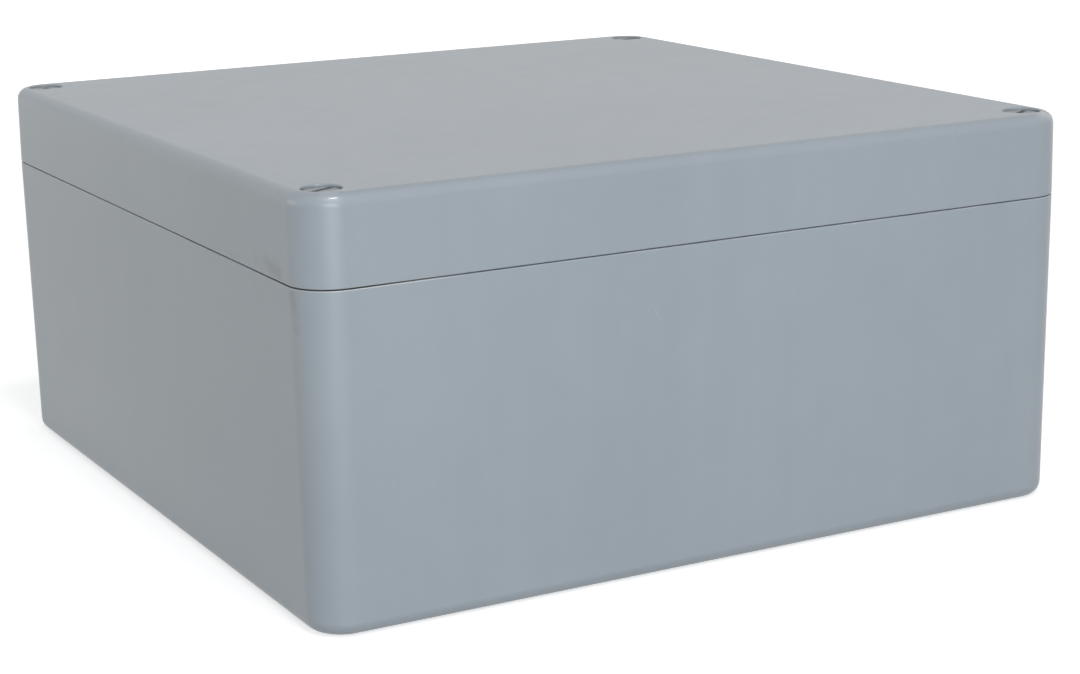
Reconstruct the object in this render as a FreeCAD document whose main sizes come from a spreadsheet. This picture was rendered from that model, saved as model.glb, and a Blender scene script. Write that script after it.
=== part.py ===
import FreeCAD, Part
import math
import os

import Sketcher
from FreeCAD import Vector

# Glass-fibre enclosure with a screwed-down lid, in millimetres.
# The origin is the centre of the underside, Z is up and the front looks along -Y.

doc = FreeCAD.newDocument("Enclosure")
sheet = doc.addObject("Spreadsheet::Sheet", "Sizes")

sizes = [
    # outside of the closed enclosure
    ("width", 250),
    ("depth", 255),
    ("height", 120),
    ("lid_height", 25),
    ("corner_round", 12),
    ("top_round", 3.5),
    ("bottom_round", 4),
    ("outer_draft", 0.5),
    ("parting_gap", 0.4),
    ("parting_chamfer", 0.4),
    # the shells
    ("wall", 5),
    ("floor_thickness", 5),
    ("lid_thickness", 5),
    ("inner_draft", 1),
    ("floor_round", 3),
    ("cavity_round", 6),
    ("column_round", 8),
    # rib on the base, groove and gasket in the lid
    ("rib_width", 2.2),
    ("rib_height", 3.5),
    ("rib_clearance", 0.8),
    ("groove_lip", 2.2),
    ("gasket_thickness", 2.5),
    ("gasket_clearance", 0.1),
    # wells for the screws that hold the enclosure to a wall
    ("fixing_inset", 35),
    ("well_diameter", 13),
    ("well_floor", 8),
    ("fixing_hole", 7),
    ("column_wall", 4),
    # lid screws, with a slotted cheese head
    ("screw_inset_x", 10),
    ("screw_inset_y", 11),
    ("screw_diameter", 6),
    ("waist_diameter", 5),
    ("screw_length", 35),
    ("thread_length", 14),
    ("head_diameter", 10),
    ("head_height", 3.9),
    ("head_chamfer", 0.5),
    ("head_sunk", 0.6),
    ("slot_width", 1.6),
    ("slot_depth", 2),
    ("tip_chamfer", 0.8),
    # what holds the screws in the lid
    ("recess_diameter", 11.2),
    ("washer_diameter", 11),
    ("washer_bore", 6.4),
    ("washer_thickness", 1.6),
    ("web_thickness", 3),
    ("web_hole", 6.6),
    ("retainer_diameter", 10),
    ("retainer_bore", 5.2),
    ("retainer_thickness", 1.5),
    ("retainer_clearance", 0.1),
    # brass inserts
    ("insert_diameter", 9),
    ("insert_length", 12),
    ("insert_sunk", 0.3),
    ("thread_clearance", 0.05),
    ("tip_room", 4),
    # bosses on the floor for a mounting plate
    ("plate_inset_x", 25),
    ("plate_inset_y", 37.5),
    ("boss_diameter", 15),
    ("boss_height", 12),
    ("boss_draft", 1.5),
    ("plate_insert_length", 10),
    ("plate_thread_bore", 5),
    ("plate_tip_room", 1.5),
]
for row, (name, value) in enumerate(sizes, start=1):
    sheet.set("A%d" % row, name)
    sheet.set("B%d" % row, str(value))
    sheet.setAlias("B%d" % row, name)
doc.recompute()


def worked_out(name, expression):
    """Add a cell whose value follows from the sizes above."""
    row = len(sizes) + 1 + len(derived)
    derived.append(name)
    sheet.set("A%d" % row, name)
    sheet.set("B%d" % row, "=" + expression)
    sheet.setAlias("B%d" % row, name)
    doc.recompute()


# heights and places that follow from the sizes
derived = []
worked_out("parting", "height - lid_height")
worked_out("rim", "parting - parting_gap / 2")
worked_out("lid_rim", "parting + parting_gap / 2")
worked_out("rib_top", "rim + rib_height")
worked_out("groove_top", "rib_top + gasket_thickness")
worked_out("lid_ceiling", "height - lid_thickness")
worked_out("head_seat", "height - head_sunk - head_height")
worked_out("recess_floor", "head_seat - washer_thickness")
worked_out("web_under", "recess_floor - web_thickness")
worked_out("screw_tip", "head_seat - screw_length")
worked_out("insert_top", "rim - insert_sunk")
worked_out("screw_x", "width / 2 - screw_inset_x")
worked_out("screw_y", "depth / 2 - screw_inset_y")
worked_out("fixing_x", "width / 2 - fixing_inset")
worked_out("column_x", "fixing_x - well_diameter / 2 - column_wall")
worked_out("column_y", "screw_y - well_diameter / 2 - column_wall")
worked_out("boss_top", "floor_thickness + boss_height")
worked_out("plate_x", "width / 2 - plate_inset_x")
worked_out("plate_y", "depth / 2 - plate_inset_y")

corners = {
    "front_left": (-1, -1),
    "front_right": (1, -1),
    "back_left": (-1, 1),
    "back_right": (1, 1),
}
subparts = []
touching = 0.001
least_cut = 0.001


def signed(sign, expression):
    return expression if sign > 0 else "-(%s)" % expression


def number(expression):
    return float(sheet.evalExpression(expression))


def bind(obj, values):
    for prop, expression in values.items():
        obj.setExpression(prop, expression)


def new_body(label):
    body = doc.addObject("PartDesign::Body", label)
    body.Label = label
    subparts.append(body)
    return body


def new_sketch(body, name, role="XY_Plane", height="0"):
    """Sketch on one of the body's own planes, lifted to the given height."""
    plane = [item for item in body.Origin.OriginFeatures if item.Role == role][0]
    sketch = body.newObject("Sketcher::SketchObject", name)
    sketch.AttachmentSupport = [(plane, "")]
    sketch.MapMode = "FlatFace"
    sketch.setExpression("AttachmentOffset.Base.z", height)
    doc.recompute()
    return sketch


def constrain(sketch, wanted):
    """Add (kind, arguments, expression) constraints; the last argument follows the expression."""
    made = [Sketcher.Constraint(kind, *arguments) for kind, arguments, _ in wanted]
    first = sketch.ConstraintCount
    sketch.addConstraint(made)
    for index, (_, _, expression) in enumerate(wanted, start=first):
        if expression:
            label = "size%d" % index
            sketch.renameConstraint(index, label)
            sketch.setExpression("Constraints." + label, expression)
    doc.recompute()


def place_point(index, spot, x, y):
    """Constraints that hold a point of some geometry at (x, y) from the origin."""
    return [("DistanceX", (-1, 1, index, spot, number(x)), x),
            ("DistanceY", (-1, 1, index, spot, number(y)), y)]


def draw_outline(sketch, points):
    """Closed right-angled outline with a rounded corner at each (x, y, radius)."""
    spots = [Vector(number(x), number(y), 0) for x, y, _ in points]
    count = len(spots)
    first = sketch.GeometryCount
    lines = []
    arcs = []
    wanted = []
    for index, (x, y, radius) in enumerate(points):
        spot = spots[index]
        size = number(radius)
        ahead = spots[(index + 1) % count]
        after = (ahead - spot).normalize()
        before = (spots[index - 1] - spot).normalize()
        left_turn = before.cross(after).z < 0
        start, end = (-after, -before) if left_turn else (-before, -after)
        angles = [math.atan2(side.y, side.x) for side in (start, end)]
        if angles[1] < angles[0]:
            angles[1] += 2 * math.pi
        circle = Part.Circle(spot + (before + after) * size, Vector(0, 0, 1), size)
        arcs.append(Part.ArcOfCircle(circle, angles[0], angles[1]))
        reach = number(points[(index + 1) % count][2])
        lines.append(Part.LineSegment(spot + after * size, ahead - after * reach))

        line = first + index
        previous = first + (index - 1) % count
        arc = first + count + index
        arc_start, arc_end = (1, 2) if left_turn else (2, 1)
        wanted += [("Tangent", (previous, 2, arc, arc_start), None),
                   ("Tangent", (arc, arc_end, line, 1), None),
                   ("Radius", (arc, size), radius)]
        along_x, along_y = place_point(line, 1, x, y)
        if abs(after.x) > abs(after.y):
            wanted += [("Horizontal", (line,), None), along_y]
        else:
            wanted += [("Vertical", (line,), None), along_x]
    sketch.addGeometry(lines + arcs, False)
    constrain(sketch, wanted)


def draw_circles(sketch, spots, radius):
    """Circles of one radius at the given (x, y) places."""
    size = number(radius)
    circles = [Part.Circle(Vector(number(x), number(y), 0), Vector(0, 0, 1), size)
               for x, y in spots]
    sketch.addGeometry(circles, False)
    wanted = []
    for index, (x, y) in enumerate(spots):
        wanted += [("Radius", (index, size), radius)] + place_point(index, 3, x, y)
    constrain(sketch, wanted)


def draw_profile(sketch, points):
    """Closed outline of straight edges, each point held at its (x, y)."""
    spots = [Vector(number(x), number(y), 0) for x, y in points]
    count = len(spots)
    edges = [Part.LineSegment(spots[k], spots[(k + 1) % count]) for k in range(count)]
    sketch.addGeometry(edges, False)
    wanted = []
    for index, (x, y) in enumerate(points):
        wanted.append(("Coincident", ((index - 1) % count, 2, index, 1), None))
        wanted += place_point(index, 1, x, y)
    constrain(sketch, wanted)


def feature(body, kind, name, sketch, **values):
    """Sketch-based feature; a text that starts with = is an expression."""
    before = body.Shape.Volume if body.Tip else 0.0
    item = body.newObject("PartDesign::" + kind, name)
    item.Profile = sketch
    for prop, value in values.items():
        if isinstance(value, str) and value.startswith("="):
            item.setExpression(prop, value[1:])
        else:
            setattr(item, prop, value)
    doc.recompute()
    after = body.Shape.Volume
    if abs(after - before) < least_cut:
        raise RuntimeError("%s changes nothing" % name)
    return item


def finish_edges(body, kind, name, chosen, **values):
    """Fillet or chamfer the edges of the body that the test accepts."""
    tip = body.Tip
    names = ["Edge%d" % (k + 1) for k, edge in enumerate(tip.Shape.Edges) if chosen(edge)]
    item = body.newObject("PartDesign::" + kind, name)
    item.Base = (tip, names)
    for prop, expression in values.items():
        item.setExpression(prop, expression)
    doc.recompute()
    return item


def at_height(edge, height):
    box = edge.BoundBox
    return abs(box.ZMin - height) < touching and abs(box.ZMax - height) < touching


def on_outside(edge):
    """True for an edge of the shells' outer outline at the parting."""
    spot = edge.valueAt((edge.FirstParameter + edge.LastParameter) / 2)
    round_size = number("Sizes.corner_round")
    past_x = abs(spot.x) - number("Sizes.width / 2") + round_size
    past_y = abs(spot.y) - number("Sizes.depth / 2") + round_size
    if past_x > 0 and past_y > 0:
        return abs(math.hypot(past_x, past_y) - round_size) < touching
    return abs(max(past_x, past_y) - round_size) < touching


def four(x, y):
    """The four places that mirror (x, y) about the middle."""
    return [(signed(sx, x), signed(sy, y)) for sx, sy in corners.values()]


def shell_outline():
    """Outside of the enclosure at the parting plane, anticlockwise."""
    x = "Sizes.width / 2"
    y = "Sizes.depth / 2"
    turns = [(1, 1), (-1, 1), (-1, -1), (1, -1)]
    return [(signed(sx, x), signed(sy, y), "Sizes.corner_round") for sx, sy in turns]


def inner_outline(offset):
    """Outline of the inside, which steps round the four corner columns, moved out by offset."""
    wall_x = "Sizes.width / 2 - Sizes.wall + (%s)" % offset
    wall_y = "Sizes.depth / 2 - Sizes.wall + (%s)" % offset
    step_x = "Sizes.column_x + (%s)" % offset
    step_y = "Sizes.column_y + (%s)" % offset
    inward = "Sizes.cavity_round + (%s)" % offset
    outward = "Sizes.column_round - (%s)" % offset
    quarter = [(wall_x, step_y, inward), (step_x, step_y, outward), (step_x, wall_y, inward)]
    points = []
    for sx, sy in [(1, 1), (-1, 1), (-1, -1), (1, -1)]:
        part = quarter if sx * sy > 0 else quarter[::-1]
        points += [(signed(sx, x), signed(sy, y), radius) for x, y, radius in part]
    return points


# how far the seal's outlines lie outside the cavity's own outline
cavity_edge = "0"
rib_out = "Sizes.rib_width"
groove_out = "Sizes.rib_width + Sizes.rib_clearance"
groove_in = "-Sizes.rib_clearance"
lid_hollow = "-Sizes.rib_clearance - Sizes.groove_lip"
gasket_out = groove_out + " - Sizes.gasket_clearance"
gasket_in = groove_in + " + Sizes.gasket_clearance"


def make_base():
    body = new_body("enclosure_base")
    outline = new_sketch(body, "base_outline", height="Sizes.rim")
    draw_outline(outline, shell_outline())
    feature(body, "Pad", "base_block", outline, Reversed=True,
            Length="=Sizes.rim", TaperAngle="=-Sizes.outer_draft")
    finish_edges(body, "Fillet", "underside_round",
                 lambda edge: at_height(edge, 0), Radius="Sizes.bottom_round")

    inside = new_sketch(body, "cavity_outline", height="Sizes.rim")
    draw_outline(inside, inner_outline(cavity_edge))
    feature(body, "Pocket", "cavity", inside,
            Length="=Sizes.rim - Sizes.floor_thickness", TaperAngle="=-Sizes.inner_draft")
    floor = number("Sizes.floor_thickness")
    finish_edges(body, "Fillet", "cavity_floor_round",
                 lambda edge: at_height(edge, floor), Radius="Sizes.floor_round")

    rib = new_sketch(body, "rib_outline", height="Sizes.rim")
    draw_outline(rib, inner_outline(rib_out))
    draw_outline(rib, inner_outline(cavity_edge))
    feature(body, "Pad", "seal_rib", rib, Length="=Sizes.rib_height")

    bosses = new_sketch(body, "boss_circles", height="Sizes.floor_thickness")
    draw_circles(bosses, four("Sizes.plate_x", "Sizes.plate_y"), "Sizes.boss_diameter / 2")
    feature(body, "Pad", "plate_bosses", bosses,
            Length="=Sizes.boss_height", TaperAngle="=-Sizes.boss_draft")

    def bore(name, x, y, diameter, top, bottom):
        circles = new_sketch(body, name + "_circles", height=top)
        draw_circles(circles, four(x, y), diameter + " / 2")
        feature(body, "Pocket", name, circles, Length="=%s - (%s)" % (top, bottom))

    bore("fixing_wells", "Sizes.fixing_x", "Sizes.screw_y", "Sizes.well_diameter",
         "Sizes.rim", "Sizes.well_floor")
    bore("fixing_holes", "Sizes.fixing_x", "Sizes.screw_y", "Sizes.fixing_hole",
         "Sizes.well_floor", "0")
    bore("screw_insert_bores", "Sizes.screw_x", "Sizes.screw_y", "Sizes.insert_diameter",
         "Sizes.rim", "Sizes.insert_top - Sizes.insert_length")
    bore("screw_tip_bores", "Sizes.screw_x", "Sizes.screw_y",
         "(Sizes.screw_diameter + 2 * Sizes.thread_clearance)",
         "Sizes.insert_top - Sizes.insert_length", "Sizes.screw_tip - Sizes.tip_room")
    bore("plate_insert_bores", "Sizes.plate_x", "Sizes.plate_y", "Sizes.insert_diameter",
         "Sizes.boss_top", "Sizes.boss_top - Sizes.plate_insert_length")
    bore("plate_tip_bores", "Sizes.plate_x", "Sizes.plate_y", "Sizes.plate_thread_bore",
         "Sizes.boss_top - Sizes.plate_insert_length",
         "Sizes.boss_top - Sizes.plate_insert_length - Sizes.plate_tip_room")

    rim = number("Sizes.rim")
    finish_edges(body, "Chamfer", "rim_chamfer",
                 lambda edge: at_height(edge, rim) and on_outside(edge),
                 Size="Sizes.parting_chamfer")
    return body


def make_lid():
    body = new_body("lid")
    outline = new_sketch(body, "lid_outline", height="Sizes.lid_rim")
    draw_outline(outline, shell_outline())
    feature(body, "Pad", "lid_block", outline,
            Length="=Sizes.height - Sizes.lid_rim", TaperAngle="=-Sizes.outer_draft")
    top = number("Sizes.height")
    finish_edges(body, "Fillet", "top_edge_round",
                 lambda edge: at_height(edge, top), Radius="Sizes.top_round")

    inside = new_sketch(body, "lid_hollow_outline", height="Sizes.lid_rim")
    draw_outline(inside, inner_outline(lid_hollow))
    feature(body, "Pocket", "lid_hollow", inside, Reversed=True,
            Length="=Sizes.lid_ceiling - Sizes.lid_rim", TaperAngle="=-Sizes.inner_draft")

    groove = new_sketch(body, "groove_outline", height="Sizes.lid_rim")
    draw_outline(groove, inner_outline(groove_out))
    draw_outline(groove, inner_outline(groove_in))
    feature(body, "Pocket", "gasket_groove", groove, Reversed=True,
            Length="=Sizes.groove_top - Sizes.lid_rim")

    def bore(name, diameter, bottom, top):
        circles = new_sketch(body, name + "_circles", height=top)
        draw_circles(circles, four("Sizes.screw_x", "Sizes.screw_y"), diameter + " / 2")
        feature(body, "Pocket", name, circles, Length="=%s - (%s)" % (top, bottom))

    bore("screw_recesses", "Sizes.recess_diameter", "Sizes.recess_floor", "Sizes.height")
    bore("screw_holes", "Sizes.web_hole", "Sizes.web_under", "Sizes.recess_floor")
    bore("retainer_bores", "(Sizes.retainer_diameter + 2 * Sizes.retainer_clearance)",
         "Sizes.lid_rim", "Sizes.web_under")

    lid_rim = number("Sizes.lid_rim")
    finish_edges(body, "Chamfer", "lid_rim_chamfer",
                 lambda edge: at_height(edge, lid_rim) and on_outside(edge),
                 Size="Sizes.parting_chamfer")
    return body


def make_gasket():
    body = new_body("gasket")
    loop = new_sketch(body, "gasket_outline", height="Sizes.rib_top")
    draw_outline(loop, inner_outline(gasket_out))
    draw_outline(loop, inner_outline(gasket_in))
    feature(body, "Pad", "gasket_loop", loop, Length="=Sizes.gasket_thickness")
    return body


def revolve(body, name, points):
    """Turn a half section, given as (radius, height) points, about the Z axis."""
    section = new_sketch(body, name + "_section", role="XZ_Plane")
    draw_profile(section, points)
    return feature(body, "Revolution", name, section, Angle=360.0,
                   ReferenceAxis=(section, ["V_Axis"]))


def make_screw(place, sx, sy):
    """Captive cheese head screw; its thread is a plain cylinder of the outer diameter."""
    body = new_body("lid_screw_" + place)
    waist = "Sizes.waist_diameter / 2"
    thread = "Sizes.screw_diameter / 2"
    head = "Sizes.head_diameter / 2"
    neck = "Sizes.thread_length - Sizes.screw_length"
    revolve(body, "turned_" + place, [
        ("0", "-Sizes.screw_length"),
        (thread + " - Sizes.tip_chamfer", "-Sizes.screw_length"),
        (thread, "Sizes.tip_chamfer - Sizes.screw_length"),
        (thread, neck + " - (%s - %s)" % (thread, waist)),
        (waist, neck),
        (waist, "0"),
        (head, "0"),
        (head, "Sizes.head_height"),
        ("0", "Sizes.head_height"),
    ])
    top = number("Sizes.head_height")
    finish_edges(body, "Chamfer", "head_edge_" + place,
                 lambda edge: at_height(edge, top), Size="Sizes.head_chamfer")
    slot = new_sketch(body, "slot_outline_" + place, height="Sizes.head_height")
    half = "Sizes.slot_width / 2"
    reach = "Sizes.head_diameter"
    draw_profile(slot, [(signed(-1, reach), signed(-1, half)), (reach, signed(-1, half)),
                        (reach, half), (signed(-1, reach), half)])
    feature(body, "Pocket", "slot_" + place, slot, Length="=Sizes.slot_depth")
    seat(body, sx, sy, "Sizes.screw_x", "Sizes.screw_y", "Sizes.head_seat")


def make_insert(label, sx, sy, x, y, top, length, bore):
    """Brass insert, its top face at the given height."""
    body = new_body(label)
    outer = "Sizes.insert_diameter / 2"
    revolve(body, label + "_turned", [(bore, "-" + length), (outer, "-" + length),
                                      (outer, "0"), (bore, "0")])
    seat(body, sx, sy, x, y, top)


def seat(item, sx, sy, x, y, z):
    bind(item, {"Placement.Base.x": signed(sx, x), "Placement.Base.y": signed(sy, y),
                "Placement.Base.z": z})


def make_washer(label, sx, sy, outer, bore, thickness, height):
    """Flat washer under or over the lid's web, its lower face at the given height."""
    disc = doc.addObject("Part::Cylinder", label + "_disc")
    bind(disc, {"Radius": outer + " / 2", "Height": thickness})
    hole = doc.addObject("Part::Cylinder", label + "_hole")
    bind(hole, {"Radius": bore + " / 2", "Height": thickness})
    washer = doc.addObject("Part::Cut", label)
    washer.Label = label
    washer.Base = disc
    washer.Tool = hole
    seat(washer, sx, sy, "Sizes.screw_x", "Sizes.screw_y", height)
    subparts.append(washer)


make_base()
make_lid()
make_gasket()
for place, (sx, sy) in corners.items():
    make_screw(place, sx, sy)
    make_washer("screw_washer_" + place, sx, sy, "Sizes.washer_diameter",
                "Sizes.washer_bore", "Sizes.washer_thickness", "Sizes.recess_floor")
    make_washer("retaining_washer_" + place, sx, sy, "Sizes.retainer_diameter",
                "Sizes.retainer_bore", "Sizes.retainer_thickness",
                "Sizes.web_under - Sizes.retainer_thickness")
    make_insert("screw_insert_" + place, sx, sy, "Sizes.screw_x", "Sizes.screw_y",
                "Sizes.insert_top", "Sizes.insert_length",
                "Sizes.screw_diameter / 2 + Sizes.thread_clearance")
    make_insert("plate_insert_" + place, sx, sy, "Sizes.plate_x", "Sizes.plate_y",
                "Sizes.boss_top", "Sizes.plate_insert_length",
                "Sizes.plate_thread_bore / 2")

doc.recompute()
for item in doc.Objects:
    if "Invalid" in item.State or "Error" in item.State:
        raise RuntimeError("%s did not build: %s" % (item.Label, item.State))
for item in subparts:
    if item.Shape.isNull() or not item.Shape.isValid():
        raise RuntimeError("%s has no valid shape" % item.Label)

os.makedirs("parts", exist_ok=True)
for item in subparts:
    item.Shape.exportStep("parts/%s.step" % item.Label)
    box = item.Shape.BoundBox
    print("%-32s %10.1f mm3  %.2f x %.2f x %.2f" % (
        item.Label, item.Shape.Volume, box.XLength, box.YLength, box.ZLength))
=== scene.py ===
import math

import bmesh
import bpy
from mathutils import Matrix, Vector


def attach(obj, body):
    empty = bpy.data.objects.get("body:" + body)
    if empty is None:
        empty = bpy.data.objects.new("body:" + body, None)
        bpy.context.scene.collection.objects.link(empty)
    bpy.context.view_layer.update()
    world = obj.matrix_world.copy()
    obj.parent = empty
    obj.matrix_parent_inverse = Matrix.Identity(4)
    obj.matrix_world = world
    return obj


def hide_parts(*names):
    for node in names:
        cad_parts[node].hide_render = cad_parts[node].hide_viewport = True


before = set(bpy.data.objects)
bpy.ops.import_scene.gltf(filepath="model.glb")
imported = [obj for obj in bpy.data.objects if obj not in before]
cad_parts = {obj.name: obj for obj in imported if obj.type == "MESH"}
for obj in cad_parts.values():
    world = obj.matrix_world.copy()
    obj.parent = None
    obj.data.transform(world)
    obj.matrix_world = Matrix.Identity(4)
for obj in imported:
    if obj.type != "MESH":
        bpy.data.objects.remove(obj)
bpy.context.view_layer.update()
print("frame loaded:", len(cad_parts), "nodes")

mm = 0.001
corners = {"front_left": (-1, -1), "front_right": (1, -1),
           "back_left": (-1, 1), "back_right": (1, 1)}

# heights and places that the shells share, in millimetres
# the inset keeps their walls a hair inside the box of the solids
layout = {
    "width": 250,
    "depth": 255,
    "cornerRound": 12,
    "inset": 0.0035,
    "rim": 94.9,
    "lidRim": 95.1,
    "columnX": 79.5,
    "columnY": 106,
    "wallX": 120,
    "wallY": 122.5,
    "cavityRound": 6,
    "columnRound": 8,
    "screwX": 115,
    "screwY": 116.5,
    "fixingX": 90,
    "plateX": 100,
    "plateY": 90,
}

# how meshes are merged, in millimetres, and shaded, in degrees and a weight
meshing = {
    "spunMerge": 0.0005,
    "lastMerge": 0.002,
    "sharpAngle": 32,
    "normalWeight": 80,
}


def shellOutline(outward):
    x = layout["width"] / 2 + outward
    y = layout["depth"] / 2 + outward
    radius = layout["cornerRound"] + outward
    return [(x, y, radius), (-x, y, radius), (-x, -y, radius), (x, -y, radius)]


def cavityOutline(outward):
    # the inside steps round the four corner columns
    wallX = layout["wallX"] + outward
    wallY = layout["wallY"] + outward
    stepX = layout["columnX"] + outward
    stepY = layout["columnY"] + outward
    hollow = layout["cavityRound"] + outward
    proud = layout["columnRound"] - outward
    quarter = [(wallX, stepY, hollow), (stepX, stepY, proud), (stepX, wallY, hollow)]
    points = []
    for signX, signY in [(1, 1), (-1, 1), (-1, -1), (1, -1)]:
        turn = quarter if signX * signY > 0 else quarter[::-1]
        points += [(signX * x, signY * y, radius) for x, y, radius in turn]
    return points


def roundedFace(bm, outline, height, segments):
    spots = [bm.verts.new((x * mm, y * mm, height * mm)) for x, y, radius in outline]
    bm.faces.new(spots)
    for size in sorted({radius for x, y, radius in outline}):
        turning = [spot for spot, (x, y, radius) in zip(spots, outline) if radius == size]
        bmesh.ops.bevel(bm, geom=turning, affect="VERTICES", offset_type="OFFSET",
                        offset=size * mm, segments=segments, profile=0.5, material=-1)
    return bm.faces[:][0]


def faceTowards(bm, face, side):
    face.normal_update()
    if face.normal.z * side < 0:
        bmesh.ops.reverse_faces(bm, faces=[face])
        face.normal_update()


def followSteps(bm, face, steps):
    # each step is (how far the outline shrinks, how far it moves along its normal)
    for inward, along in steps:
        bmesh.ops.inset_region(bm, faces=[face], thickness=inward * mm, depth=along * mm,
                               use_even_offset=True, use_boundary=True)


def quarterTurn(radius, segments):
    turns = [math.pi / 2 * k / segments for k in range(segments + 1)]
    reach = [(radius * (1 - math.cos(turn)), radius * math.sin(turn)) for turn in turns]
    return [(b[0] - a[0], b[1] - a[1]) for a, b in zip(reach, reach[1:])]


def flare(radius, segments):
    return quarterTurn(radius, segments)[::-1]


def drafted(length, degrees):
    return (length * math.tan(math.radians(degrees)), length)


def stackedSolid(outline, height, down, up, segments):
    bm = bmesh.new()
    face = roundedFace(bm, outline, height, segments)
    faceTowards(bm, face, -1)
    followSteps(bm, face, down)
    openEdges = [edge for edge in bm.edges if edge.is_boundary]
    cap = bmesh.ops.edgeloop_fill(bm, edges=openEdges)["faces"][0]
    faceTowards(bm, cap, 1)
    followSteps(bm, cap, up)
    bmesh.ops.recalc_face_normals(bm, faces=bm.faces[:])
    return bm


def spunSolid(profile, segments):
    bm = bmesh.new()
    spots = [bm.verts.new((radius * mm, 0, height * mm)) for radius, height in profile]
    lines = [bm.edges.new(pair) for pair in zip(spots, spots[1:])]
    if profile[0][0] > 0:
        lines.append(bm.edges.new((spots[-1], spots[0])))
    bmesh.ops.spin(bm, geom=spots + lines, cent=(0, 0, 0), axis=(0, 0, 1), dvec=(0, 0, 0),
                   angle=2 * math.pi, steps=segments, use_merge=True)
    bmesh.ops.remove_doubles(bm, verts=bm.verts[:], dist=meshing["spunMerge"] * mm)
    bmesh.ops.recalc_face_normals(bm, faces=bm.faces[:])
    return bm


def moveBy(bm, items, x, y, z=0):
    spots = [item for item in items if isinstance(item, bmesh.types.BMVert)]
    bmesh.ops.translate(bm, verts=spots, vec=(x * mm, y * mm, z * mm))


def fourTimes(bm, x, y):
    # one copy in each quarter, the shape itself moving to the first
    made = bm.verts[:] + bm.edges[:] + bm.faces[:]
    (firstX, firstY), *others = corners.values()
    for signX, signY in others:
        copied = bmesh.ops.duplicate(bm, geom=made)["geom"]
        moveBy(bm, copied, signX * x, signY * y)
    moveBy(bm, made, firstX * x, firstY * y)
    return bm


def loopSolid(outline, low, width, thickness, segments):
    # an endless ring of even width inside an outline
    bm = bmesh.new()
    face = roundedFace(bm, outline, low, segments)
    faceTowards(bm, face, 1)
    followSteps(bm, face, [(width, 0)])
    bm.faces.remove(face)
    raised = bmesh.ops.extrude_face_region(bm, geom=bm.faces[:])["geom"]
    moveBy(bm, raised, 0, 0, thickness)
    bmesh.ops.recalc_face_normals(bm, faces=bm.faces[:])
    return bm


def newPiece(name, bm):
    mesh = bpy.data.meshes.new(name)
    bm.to_mesh(mesh)
    bm.free()
    piece = bpy.data.objects.new(name, mesh)
    bpy.context.scene.collection.objects.link(piece)
    return piece


def combine(piece, operation, bm):
    tool = newPiece("tool", bm)
    step = piece.modifiers.new("combine", "BOOLEAN")
    step.operation = operation
    step.solver = "EXACT"
    step.object = tool
    depsgraph = bpy.context.evaluated_depsgraph_get()
    result = bpy.data.meshes.new_from_object(piece.evaluated_get(depsgraph))
    piece.modifiers.clear()
    spent = piece.data
    piece.data = result
    result.name = piece.name
    bpy.data.meshes.remove(spent)
    bpy.data.meshes.remove(tool.data)


def finishPiece(piece, body, node, material):
    mesh = piece.data
    bm = bmesh.new()
    bm.from_mesh(mesh)
    bmesh.ops.remove_doubles(bm, verts=bm.verts[:], dist=meshing["lastMerge"] * mm)
    bm.to_mesh(mesh)
    bm.free()
    mesh.shade_smooth()
    mesh.set_sharp_from_angle(angle=math.radians(meshing["sharpAngle"]))
    normals = piece.modifiers.new("evenNormals", "WEIGHTED_NORMAL")
    normals.keep_sharp = True
    normals.weight = meshing["normalWeight"]
    mesh.materials.clear()
    mesh.materials.append(material)
    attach(piece, body)
    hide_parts(node)


def addNode(tree, kind, inputs=None, **settings):
    made = tree.nodes.new(kind)
    for key, value in settings.items():
        setattr(made, key, value)
    for key, value in (inputs or {}).items():
        if isinstance(value, bpy.types.NodeSocket):
            tree.links.new(value, made.inputs[key])
        else:
            made.inputs[key].default_value = value
    return made


def newMaterial(name):
    material = bpy.data.materials.new(name)
    material.use_nodes = True
    tree = material.node_tree
    tree.nodes.clear()
    return material, tree


def objectPlace(tree):
    return addNode(tree, "ShaderNodeTexCoord").outputs["Object"]


def laidOut(tree, place, size, turn=(0, 0, 0)):
    # the texture type turns the place before it scales it, so a long grain really turns
    return addNode(tree, "ShaderNodeMapping", {"Vector": place, "Scale": size, "Rotation": turn},
                   vector_type="TEXTURE").outputs["Vector"]


def noise(tree, place, scale, detail, roughness=0.55):
    return addNode(tree, "ShaderNodeTexNoise", {"Vector": place, "Scale": scale, "Detail": detail,
                                                "Roughness": roughness}).outputs[0]


def maths(tree, operation, first, second, clamp=False):
    made = addNode(tree, "ShaderNodeMath", {0: first, 1: second}, operation=operation)
    made.use_clamp = clamp
    return made.outputs[0]


def ramp(tree, value, low, high, toLow=0.0, toHigh=1.0, smooth=False):
    made = addNode(tree, "ShaderNodeMapRange", {"Value": value, "From Min": low, "From Max": high,
                                                "To Min": toLow, "To Max": toHigh})
    if smooth:
        made.interpolation_type = "SMOOTHSTEP"
    return made.outputs[0]


def tint(tree, amount, first, second):
    made = addNode(tree, "ShaderNodeMix", {0: amount, 6: first, 7: second}, data_type="RGBA")
    return made.outputs[2]


def surface(tree, inputs):
    shader = addNode(tree, "ShaderNodeBsdfPrincipled", inputs)
    addNode(tree, "ShaderNodeOutputMaterial", {"Surface": shader.outputs[0]})


def grey(red, green, blue):
    return (red, green, blue, 1)


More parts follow.
